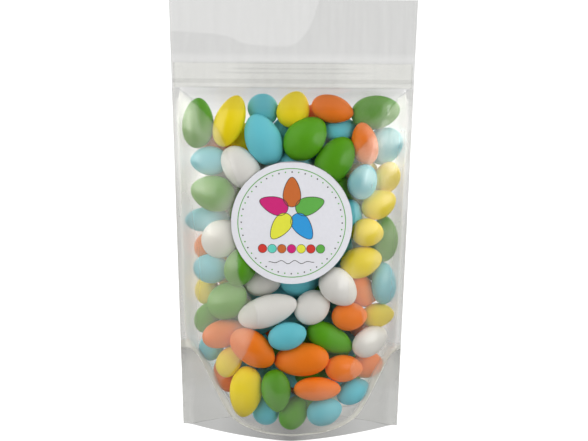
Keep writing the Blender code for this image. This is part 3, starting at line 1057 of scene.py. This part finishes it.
def header_warp(x, z):
    """How far the empty top bends out of its plane: a slow sway and a short crease."""
    crease = HEADER_CREASE * ridge(z, CREASE_HEIGHT, CREASE_HEIGHT, 1.1 * MM)
    crease = crease * ridge(x, *CREASE_ACROSS, 6 * MM)
    return crease + HEADER_SWAY * wave(x, 17) * rise(z, ZIP_TOP, HEIGHT)


def flat_film(x, z):
    """Half depth of the film where it is welded or zipped, and a mask of that."""
    inner = fill_half_width(z)
    side = np.abs(x) > inner - 0.01 * MM
    header = z > ZIP_BOTTOM
    flap = z < weld_height(x)
    seal_step = SEAL_STEP * ridge(np.abs(x), inner + 0.9 * MM, inner + 2.6 * MM, 0.5 * MM)
    depth = np.where(header, FILM_HALF_GAP + zip_depth(x, z), FILM_HALF_GAP)
    depth = np.where(side, FILM_HALF_GAP + seal_step, depth)
    depth = np.where(flap, flap_depth(x, z), depth)
    return depth, side | header | flap


def side_wrinkles(x, z):
    """Shallow upright wrinkles in the loose film beside the side seals."""
    gap = fill_half_width(z) - np.abs(x)
    side = np.sign(x)
    lean = 2.5 * MM * wave(z, 23, side) + 1.5 * MM * wave(z, 11, -2 * side)
    waves = wave(gap + lean, 1.5) + 0.6 * wave(gap - lean, 0.9, side)
    fade = ridge(gap, WRINKLE_FROM, WRINKLE_REACH / 2, WRINKLE_REACH / 2)
    fade = fade * rise(gap, 0.0, WRINKLE_FROM)
    return WRINKLE * waves * fade * ridge(z, *WRINKLE_BAND, 14 * MM)


def zip_ripples(x, z):
    """Shallow level ripples in the film that hangs from the zip."""
    waves = wave(z, 0.75, 0.8 * wave(x, 14)) + wave(z, 1.7, 1.0)
    return RIPPLE * waves * ridge(z, *RIPPLE_BAND, 2.5 * MM)


def label_film(x, z):
    """Depth of the film under the label, and a mask of it."""
    under = np.hypot(x, z - LABEL_HEIGHT) < LABEL_RADIUS - 0.3 * MM
    return full_depth(x, z) + LABEL_PROUD - LABEL_THICKNESS - LABEL_GAP, under


def neighbour_mean(depth):
    """Mean of each grid value's four neighbours; the rim stays."""
    mean = depth.copy()
    mean[1:-1, 1:-1] = (depth[2:, 1:-1] + depth[:-2, 1:-1]
                        + depth[1:-1, 2:] + depth[1:-1, :-2]) / 4
    return mean


def taut_film(x, z, depth, inside):
    """Depth of stiff film stretched in flat facets over the points of a form."""
    shape = bmesh.new()
    for index in zip(*np.nonzero(inside)):
        shape.verts.new((x[index], z[index], depth[index]))
    bmesh.ops.convex_hull(shape, input=shape.verts[:])
    hull = BVHTree.FromBMesh(shape)
    shape.free()
    taut = depth.copy()
    for index in zip(*np.nonzero(inside)):
        start = Vector((x[index], z[index], RAY_START))
        spot = hull.ray_cast(start, Vector((0, 0, -1)))[0]
        if spot is not None:
            taut[index] = max(spot.z, depth[index])
    return taut


def drape(tree, facing):
    """Points of a film pulled tight over the almonds, and its depths."""
    x, z = film_grid()
    almonds = almond_depths(tree, x, z, facing) + FILM_CLEAR
    held, fixed = flat_film(x, z)
    if facing == 1:
        label, under_label = label_film(x, z)
        held = np.where(under_label, label, held)
        fixed = fixed | under_label
    depth = np.where(fixed, held, np.maximum(full_depth(x, np.minimum(z, FILL_TOP)), almonds))
    for _ in range(DRAPE_ROUNDS):
        depth = np.where(fixed, held, np.maximum(neighbour_mean(depth), almonds))
    filled = (z < ZIP_BOTTOM) & (z > weld_height(x) - 1 * MM)
    taut = taut_film(x, z, depth, filled)
    tight = TAUTNESS * free_of_weld(x, z)
    depth = tight * taut + (1 - tight) * depth + side_wrinkles(x, z) + zip_ripples(x, z)
    depth = depth + swells(x, z) * rise(room_inside(x, z), 0.0, BUMP_FULL_AT)
    for _ in range(CREASE_ROUNDS):
        depth = np.where(fixed, held, np.maximum(neighbour_mean(depth), almonds))
    beside = np.abs(np.abs(x) - fill_half_width(z)) < EDGE_REACH
    beside = beside & (z < ZIP_BOTTOM - EDGE_REACH)
    for _ in range(EDGE_ROUNDS):
        depth = np.where(beside, np.maximum(neighbour_mean(depth), almonds), depth)
    return x, z, np.minimum(depth, POUCH_HIGH[1] - 0.1 * MM)


def film_points(x, z, depth, facing):
    """Points of a film from its depths, with the lift of its bottom corners."""
    lift = base_height(x) * (1 - rise(z, 0.0, RISE_FADES_AT))
    y = -facing * depth - header_warp(x, z) * soft_rise(z, ZIP_TOP, HEADER_FREE)
    return np.stack([x, y, z + lift], axis=-1)


def swells(x, z):
    """Slow random-looking waves of the film, always outward."""
    waves = wave(x, 4.1, 1.3 * wave(z, 9)) + wave(z, 3.7, 1.7 * wave(x, 8, 1.0))
    waves = waves + wave(x + z, 5.3) * wave(x - z, 6.1, 0.7)
    return SWELL * (waves + 3) / 2


def header_haze(x, z):
    """1 where the empty top is hazy: all of it but a clear patch at its upper left."""
    foot = along_curve(CLEAR_PATCH, np.clip(x, CLEAR_PATCH[0][0], CLEAR_PATCH[-1][0]))
    clear = soft_rise(z - foot, -0.6 * MM, 0.6 * MM)
    return (1 - clear) * soft_rise(z, 204 * MM, HEADER_FREE)


def outside_crease(x, z, side, rows):
    """How far a place lies outside the long crease of a side."""
    return side * x - along_curve([row[:2] for row in rows], z)


def milk_and_painted_shade(x, z):
    """Share of the film that scatters light, clear in the middle; beside the seals it is partly
    painted shade, and it adds painted shade lines along the creases and across the zip.
    """
    gap = half_width(z) - np.abs(x)
    # Grey milk beside the seals: partly scatter, partly painted shade for the shadowed
    # surroundings seen through the side gaps
    beside = 1 - soft_rise(gap, *SIDE_MILK_AND_SHADE_FADE)
    milk_and_shade_beside = beside * soft_rise(z, *SIDE_MILK_AND_SHADE_RISE) * (1 - soft_rise(z, *SIDE_MILK_AND_SHADE_FALL))
    top = MILK_TOP * soft_rise(z, MILK_TOP_FROM, ZIP_BOTTOM) + MILK_HEADER * header_haze(x, z)
    distance = over_weld(x, z)
    low = soft_rise(distance, -1 * MM, 1 * MM) * (1 - soft_rise(distance, 0.0, MILK_BASE_REACH))
    # Painted shade: a dark line along each side's long crease
    for side, rows in HAZE_SIDES:
        line = ridge(outside_crease(x, z, side, rows), -0.6 * MM, -0.2 * MM, 0.6 * MM)
        top = top + CREASE_PAINTED_SHADE * line * soft_rise(z, *CREASE_RISE) * (z < ZIP_BOTTOM)
    # Painted shade: dark lines and bands across the zip and just below it
    for height, half, reach, share in ZIP_PAINTED_SHADES:
        shade = share * ridge(z, height - half, height + half, 0.5 * MM)
        top = top + shade * ridge(x, -reach, reach, 15 * MM)
    return MILK_CLEAR + np.maximum(SIDE_MILK_AND_SHADE * milk_and_shade_beside, MILK_BASE * low) + top


def over_weld(x, z):
    """Distance above the curved base weld, square to it."""
    step = 1 * MM
    slope = (weld_height(x + step) - weld_height(x - step)) / (2 * step)
    return (z - weld_height(x)) / np.hypot(1.0, slope)


def haziness(x, z):
    """Share of the film that mirrors softly: loose at the sides, creased over the weld."""
    haze = np.zeros_like(x)
    for side, rows in HAZE_SIDES:
        share = along_curve([row[::2] for row in rows], z)
        share = share * rise(z, rows[0][0] - HAZE_FOOT, rows[0][0]) * (z < ZIP_BOTTOM)
        haze = haze + share * soft_rise(outside_crease(x, z, side, rows), *HAZE_EDGE)
    distance = over_weld(x, z)
    wavy = 1.4 * MM * wave(x, 4.3, wave(z, 5))
    veil = soft_rise(distance, -0.8 * MM, 0.4 * MM)
    veil = veil * (1 - soft_rise(distance + wavy, 1 * MM, HAZE_WELD_REACH))
    veil = veil * (0.25 + 0.75 * soft_rise(np.abs(x), *HAZE_WELD_ACROSS))
    haze = np.maximum(haze, HAZE_WELD * veil)
    for across, up, reach_x, reach_z, share in HAZE_PATCHES:
        far = np.hypot((x - across) / reach_x, (z - up) / reach_z)
        far = far + 0.12 * wave(z, 9, across) + 0.07 * wave(z + x, 3.7)
        haze = np.maximum(haze, share * (1 - soft_rise(far, *PATCH_FADE)))
    return haze


def set_values(piece, name, values):
    """Store a value at each point of a piece, for its material; one number goes to all."""
    attribute = piece.data.attributes.new(name, 'FLOAT', 'POINT')
    values = np.broadcast_to(np.ravel(values), len(piece.data.vertices))
    attribute.data.foreach_set("value", values.astype(np.float32))


def film_sheet(name, x, z, depth, facing, surface, milk, haze=None):
    """One sheet of film from its depths, with its values of milk, painted shade included, and
    haze.
    """
    points = film_points(x, z, depth, facing).reshape(-1, 3)
    piece = make_mesh(name, points, grid_faces(*x.shape, flip=facing == -1), surface)
    set_values(piece, "milk", milk)
    if haze is not None:
        set_values(piece, "haze", haze)
    return piece


def build_film(pieces, film):
    """Front and back film over the almonds."""
    tree = surface_tree(pieces)
    for side, facing in FACINGS:
        x, z, depth = drape(tree, facing)
        yield film_sheet("film_" + side, x, z, depth, facing, film, milk_and_painted_shade(x, z),
                         haziness(x, z))


def build_base_weld(film):
    """Inner plies of the base, welded to the front and back outside the curved weld."""
    share = np.linspace(0.0, 1.0, WELD_ROWS)[:, None]
    across = np.linspace(-1.0, 1.0, WELD_COLUMNS)[None, :] * HALF_WIDTH_BASE
    z = share * weld_height(across)
    x = across * half_width(z) / HALF_WIDTH_BASE
    depth = np.maximum(flap_depth(x, z) - PLY_GAP, PLY_GAP / 2)
    for side, facing in FACINGS:
        yield film_sheet("base_ply_" + side, x, z, depth, facing, film, MILK_CLEAR)


def build_weld_bead(film):
    """Raised line of the curved base weld, front and back."""
    x = WELD_MIDDLE + np.linspace(-1.0, 1.0, BEAD_COLUMNS) * BASE_WELD[-1][0]
    z = weld_height(x)
    slope = np.gradient(z, x)
    length = np.hypot(1.0, slope)
    rows = []
    for share in np.linspace(-1.0, 1.0, BEAD_ROWS):
        side_x = x - share * BEAD_WIDTH / 2 * slope / length
        side_z = z + share * BEAD_WIDTH / 2 / length
        depth = flap_depth(side_x, side_z) + BEAD_PROUD * (1 - share ** 2) + BEAD_LIFT
        rows.append((side_x, side_z, depth))
    x, z, depth = (np.array(part) for part in zip(*rows))
    for side, facing in FACINGS:
        milk, haze = (MILK_WELD, HAZE_BEAD) if facing == 1 else (MILK_CLEAR, 0.0)
        yield film_sheet("weld_line_" + side, x, z, depth, facing, film, milk, haze)


def build_gusset(film):
    """Film under the almonds, from the front weld to the back weld."""
    x = WELD_MIDDLE + np.linspace(-1.0, 1.0, GUSSET_COLUMNS)[None, :] * BASE_WELD[-1][0]
    share = np.linspace(-1.0, 1.0, GUSSET_ROWS)[:, None]
    y = share * flap_depth(x, weld_height(x))
    z = gusset_height(x, share * core_depth(x, weld_height(x)))
    x = np.repeat(x, GUSSET_ROWS, axis=0)
    z = z + base_height(x) * (1 - rise(weld_height(x), 0.0, RISE_FADES_AT))
    points = np.stack([x, y, z], axis=-1).reshape(-1, 3)
    piece = make_mesh("gusset", points, grid_faces(GUSSET_ROWS, GUSSET_COLUMNS), film)
    set_values(piece, "milk", MILK_CLEAR)
    return piece


def build_zip(plastic):
    """The two halves of the press zip, as thick as the film's lift over them."""
    z = np.linspace(ZIP_BOTTOM, ZIP_TOP, ZIP_ROWS)[:, None]
    x = np.linspace(-1.0, 1.0, ZIP_COLUMNS)[None, :] * (half_width(z) - 1 * MM)
    z = np.repeat(z, ZIP_COLUMNS, axis=1)
    outer = FILM_HALF_GAP + zip_depth(x, z) - ZIP_UNDER_FILM
    rail = ridge(z, ZIP_RAIL[0] + 0.6 * MM, ZIP_RAIL[1] - 0.6 * MM, 0.3 * MM)
    inner = np.maximum(outer - ZIP_FLANGE - rail * ZIP_RAIL_DEPTH, ZIP_HALF_GAP)
    count = x.size
    for side, facing in FACINGS:
        front = np.stack([x, -facing * outer, z], axis=-1).reshape(-1, 3)
        back = np.stack([x, -facing * inner, z], axis=-1).reshape(-1, 3)
        faces = grid_faces(*x.shape, flip=facing == -1)
        faces += [[index + count for index in face[::-1]] for face in faces]
        faces += rim_faces(*x.shape, count, flip=facing == -1)
        yield make_mesh("zip_" + side, np.concatenate([front, back]), faces, plastic)


# Label


def disc_faces(rings, sides, start=0, flip=False):
    """Faces of a disc whose points are its middle and then rings of points outward."""
    faces = []
    for side in range(sides):
        after = (side + 1) % sides
        faces.append((start, start + 1 + side, start + 1 + after))
        for ring in range(rings - 1):
            low = start + 1 + ring * sides
            high = low + sides
            faces.append((low + side, high + side, high + after, low + after))
    return [face[::-1] for face in faces] if flip else faces


def build_label(surface):
    """Round paper label bent to the front."""
    radius = LABEL_RADIUS * np.linspace(0.0, 1.0, LABEL_RINGS + 1)[1:, None]
    angle = np.linspace(0.0, 2 * math.pi, LABEL_SIDES, endpoint=False)[None, :]
    x = np.concatenate([[0.0], (radius * np.cos(angle)).ravel()])
    z = np.concatenate([[LABEL_HEIGHT], (LABEL_HEIGHT + radius * np.sin(angle)).ravel()])
    front = np.stack([x, -label_depth(x, z), z], axis=1)
    back = front + np.array((0.0, LABEL_THICKNESS, 0.0))
    count = len(front)
    faces = disc_faces(LABEL_RINGS, LABEL_SIDES)
    faces += disc_faces(LABEL_RINGS, LABEL_SIDES, start=count, flip=True)
    rim = 1 + (LABEL_RINGS - 1) * LABEL_SIDES
    for side in range(LABEL_SIDES):
        here, after = rim + side, rim + (side + 1) % LABEL_SIDES
        faces.append((here, count + here, count + after, after))
    piece = make_mesh("label_paper", np.concatenate([front, back]), faces, surface)
    piece.data.set_sharp_from_angle(angle=math.radians(50))
    return piece


def almond_outline(place, size, turn, tip, share, angle):
    """Places across and up on a share of an almond's outline; a tip of 0 makes a disc."""
    along = share * np.cos(angle) * size[0] / 2
    aside = share * np.sin(angle) * (1 - tip * np.cos(angle)) * size[1] / 2
    x = place[0] + along * math.cos(turn) - aside * math.sin(turn)
    return x, place[1] + along * math.sin(turn) + aside * math.cos(turn)


def print_patch(place, size, turn=0.0, tip=0.0):
    """Points and faces of a printed almond or disc that lies on the label."""
    rings = np.linspace(0.0, 1.0, PRINT_RINGS)[1:, None]
    angle = np.linspace(0.0, 2 * math.pi, PRINT_SIDES, endpoint=False)[None, :]
    x, up = almond_outline(place, size, turn, tip, rings, angle)
    x = np.concatenate([[place[0]], x.ravel()])
    z = LABEL_HEIGHT + np.concatenate([[place[1]], up.ravel()])
    points = np.stack([x, -label_depth(x, z) - PRINT_LIFT, z], axis=1)
    return points, disc_faces(PRINT_RINGS - 1, PRINT_SIDES)


def print_line(x, z, width, lift):
    """Points and faces of a printed line along points of the label."""
    across = np.gradient(x)
    up = np.gradient(z)
    length = np.hypot(across, up)
    rows = []
    for share in (-0.5, 0.0, 0.5):
        side_x = x - share * width * up / length
        side_z = LABEL_HEIGHT + z + share * width * across / length
        rows.append(np.stack([side_x, -label_depth(side_x, side_z) - lift, side_z], axis=1))
    return np.concatenate(rows), grid_faces(3, len(x))


def ring_line(place, size, width, turn=0.0, tip=0.0, lift=2 * PRINT_LIFT):
    """Printed outline of an almond or disc."""
    angle = np.linspace(0.0, 2 * math.pi, 4 * PRINT_SIDES + 1)
    return print_line(*almond_outline(place, size, turn, tip, 1.0, angle), width, lift)


def label_print():
    """Printed shapes of the label by ink: a ring of dots, five almonds, sweets and a wave."""
    shapes = {ink: [] for ink in INKS}
    shapes["ink_green"].append(ring_line((0.0, 0.0), (2 * RING, 2 * RING), RING_WIDTH,
                                         lift=PRINT_LIFT))
    for dot in range(RING_DOTS):
        angle = 2 * math.pi * dot / RING_DOTS
        place = (DOT_RING * math.cos(angle), DOT_RING * math.sin(angle))
        shapes[("ink_dark", "ink_green")[dot % 2]].append(print_patch(place, (DOT, DOT)))
    for petal, ink in enumerate(PETAL_INKS):
        turn = math.pi / 2 + 2 * math.pi * petal / len(PETAL_INKS)
        place = (PETAL_REACH * math.cos(turn), PETALS_UP + PETAL_REACH * math.sin(turn))
        shapes[ink].append(print_patch(place, PETAL, turn, PETAL_TIP))
        shapes["ink_dark"].append(ring_line(place, PETAL, PETAL_LINE, turn, PETAL_TIP))
    for sweet, ink in enumerate(SWEET_INKS):
        place = ((sweet - (len(SWEET_INKS) - 1) / 2) * SWEET_PITCH, SWEETS_UP)
        shapes[ink].append(print_patch(place, (SWEET, SWEET)))
        shapes["ink_dark"].append(ring_line(place, (SWEET, SWEET), SWEET_LINE))
    x = np.linspace(-WAVE_HALF, WAVE_HALF, WAVE_POINTS)
    up = WAVE_UP + WAVE_RISE * np.sin(x / WAVE_LENGTH) * (1 - (x / WAVE_HALF) ** 2)
    shapes["ink_dark"].append(print_line(x, up, WAVE_LINE, PRINT_LIFT))
    return shapes


def build_print():
    """One piece for each ink on the label."""
    for ink, parts in label_print().items():
        yield make_mesh(ink, *joined(parts), new_material(ink, paper, INKS[ink]))


def label_depth(x, z):
    """Half depth of the label's face."""
    waves = (wave(x, 6.1, 1.0) * np.cos(z / (7.3 * MM) + 0.4)
             + 0.6 * wave(x, 9.7, -z / (8.3 * MM)))
    return full_depth(x, z) + LABEL_PROUD + LABEL_RIPPLE * waves


# Stage and lights


def lathe(name, profile, surface, sides=96):
    """Turned surface from radius and height points."""
    angle = np.linspace(0.0, 2 * math.pi, sides, endpoint=False)
    points = []
    for radius, height in profile:
        points += [(radius * math.cos(a), radius * math.sin(a), height) for a in angle]
    faces = []
    for ring in range(len(profile) - 1):
        for side in range(sides):
            after = (side + 1) % sides
            low, high = ring * sides, (ring + 1) * sides
            faces.append((low + side, low + after, high + after, high + side))
    if profile[0][0] < profile[-1][0]:
        faces.append(tuple(range(sides))[::-1])
    return make_mesh(name, points, faces, surface)


def build_stage():
    """White floor with a painted shadow under the pouch, and a round white backdrop that curves
    up from it.
    """
    white = new_material("studio_white_painted_shadow", white_with_painted_shadow)
    floor = lathe("studio_floor", [(radius, 0.0) for radius in FLOOR_RINGS], white)
    curve = [(FLOOR_RADIUS + CURVE * math.sin(a), CURVE * (1 - math.cos(a)))
             for a in np.linspace(0.0, math.pi / 2, CURVE_RINGS)]
    wall = lathe("studio_wall", curve + [(FLOOR_RADIUS + CURVE, WALL_HEIGHT)], white)
    for piece in (floor, wall):
        piece.visible_diffuse = False
        piece.visible_glossy = False


def soft_light(name, azimuth, distance, height, size, power, mirrored):
    """Rectangular studio light aimed at the pouch; azimuth 0 is in front of it."""
    data = bpy.data.lights.new(name, 'AREA')
    data.shape = 'RECTANGLE'
    data.size, data.size_y = size
    data.energy = power
    light = bpy.data.objects.new(name, data)
    turn = math.radians(azimuth)
    light.location = (distance * math.sin(turn), -distance * math.cos(turn), height)
    aim = Vector((0.0, 0.0, LIGHT_AIM)) - light.location
    light.rotation_euler = aim.to_track_quat('-Z', 'Y').to_euler()
    light.visible_camera = False
    light.visible_glossy = mirrored
    bpy.context.scene.collection.objects.link(light)


def build_world():
    """Surroundings for the film to mirror: bright at the sides, pale below, dark elsewhere."""
    world = bpy.data.worlds.new("studio")
    world.use_nodes = True
    tree = world.node_tree
    direction = add_node(tree, "ShaderNodeTexCoord", output="Generated")
    split = add_node(tree, "ShaderNodeSeparateXYZ", {"Vector": direction}).node
    shades = []
    for axis, stops in (("X", WORLD_BY_SIDE), ("Z", WORLD_SIDES_BY_HEIGHT),
                        ("Z", WORLD_BY_HEIGHT)):
        place = remap(tree, split.outputs[axis], (0.0, 1.0), source=(-1.0, 1.0))
        shades.append(ramp(tree, place, [(stop, (grey, grey, grey, 1.0))
                                         for stop, grey in stops]))
    both = add_node(tree, "ShaderNodeVectorMath", dict(enumerate(shades)),
                    operation='MULTIPLY_ADD')
    background = tree.nodes["Background"]
    tree.links.new(both, background.inputs["Color"])
    background.inputs["Strength"].default_value = WORLD_STRENGTH
    bpy.context.scene.world = world


def build_lights():
    """Softboxes at the sides and behind, a strip at the front right, a fill above in front."""
    for light in LIGHTS:
        soft_light(*light)
    build_world()


def main():
    """Build the pouch and its studio."""
    make_camera()
    film, welded, plastic = (new_material(name, clear_film, **look)
                             for name, look in FILM_LOOKS.items())
    almonds = build_almonds()
    skins = list(build_film(almonds, film))
    skins += list(build_base_weld(welded))
    skins += list(build_weld_bead(welded))
    skins.append(build_gusset(welded))
    skins += list(build_zip(plastic))
    papers = [build_label(new_material("label_coat", paper, LABEL_COAT))]
    papers += list(build_print())
    for piece in almonds + skins:
        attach(piece, "root")
    for piece in papers:
        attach(piece, "root")
    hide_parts("pouch")
    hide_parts("label")
    build_stage()
    build_lights()
    bpy.context.scene.view_settings.view_transform = 'Standard'
    bpy.context.scene.cycles.transparent_max_bounces = 24


main()
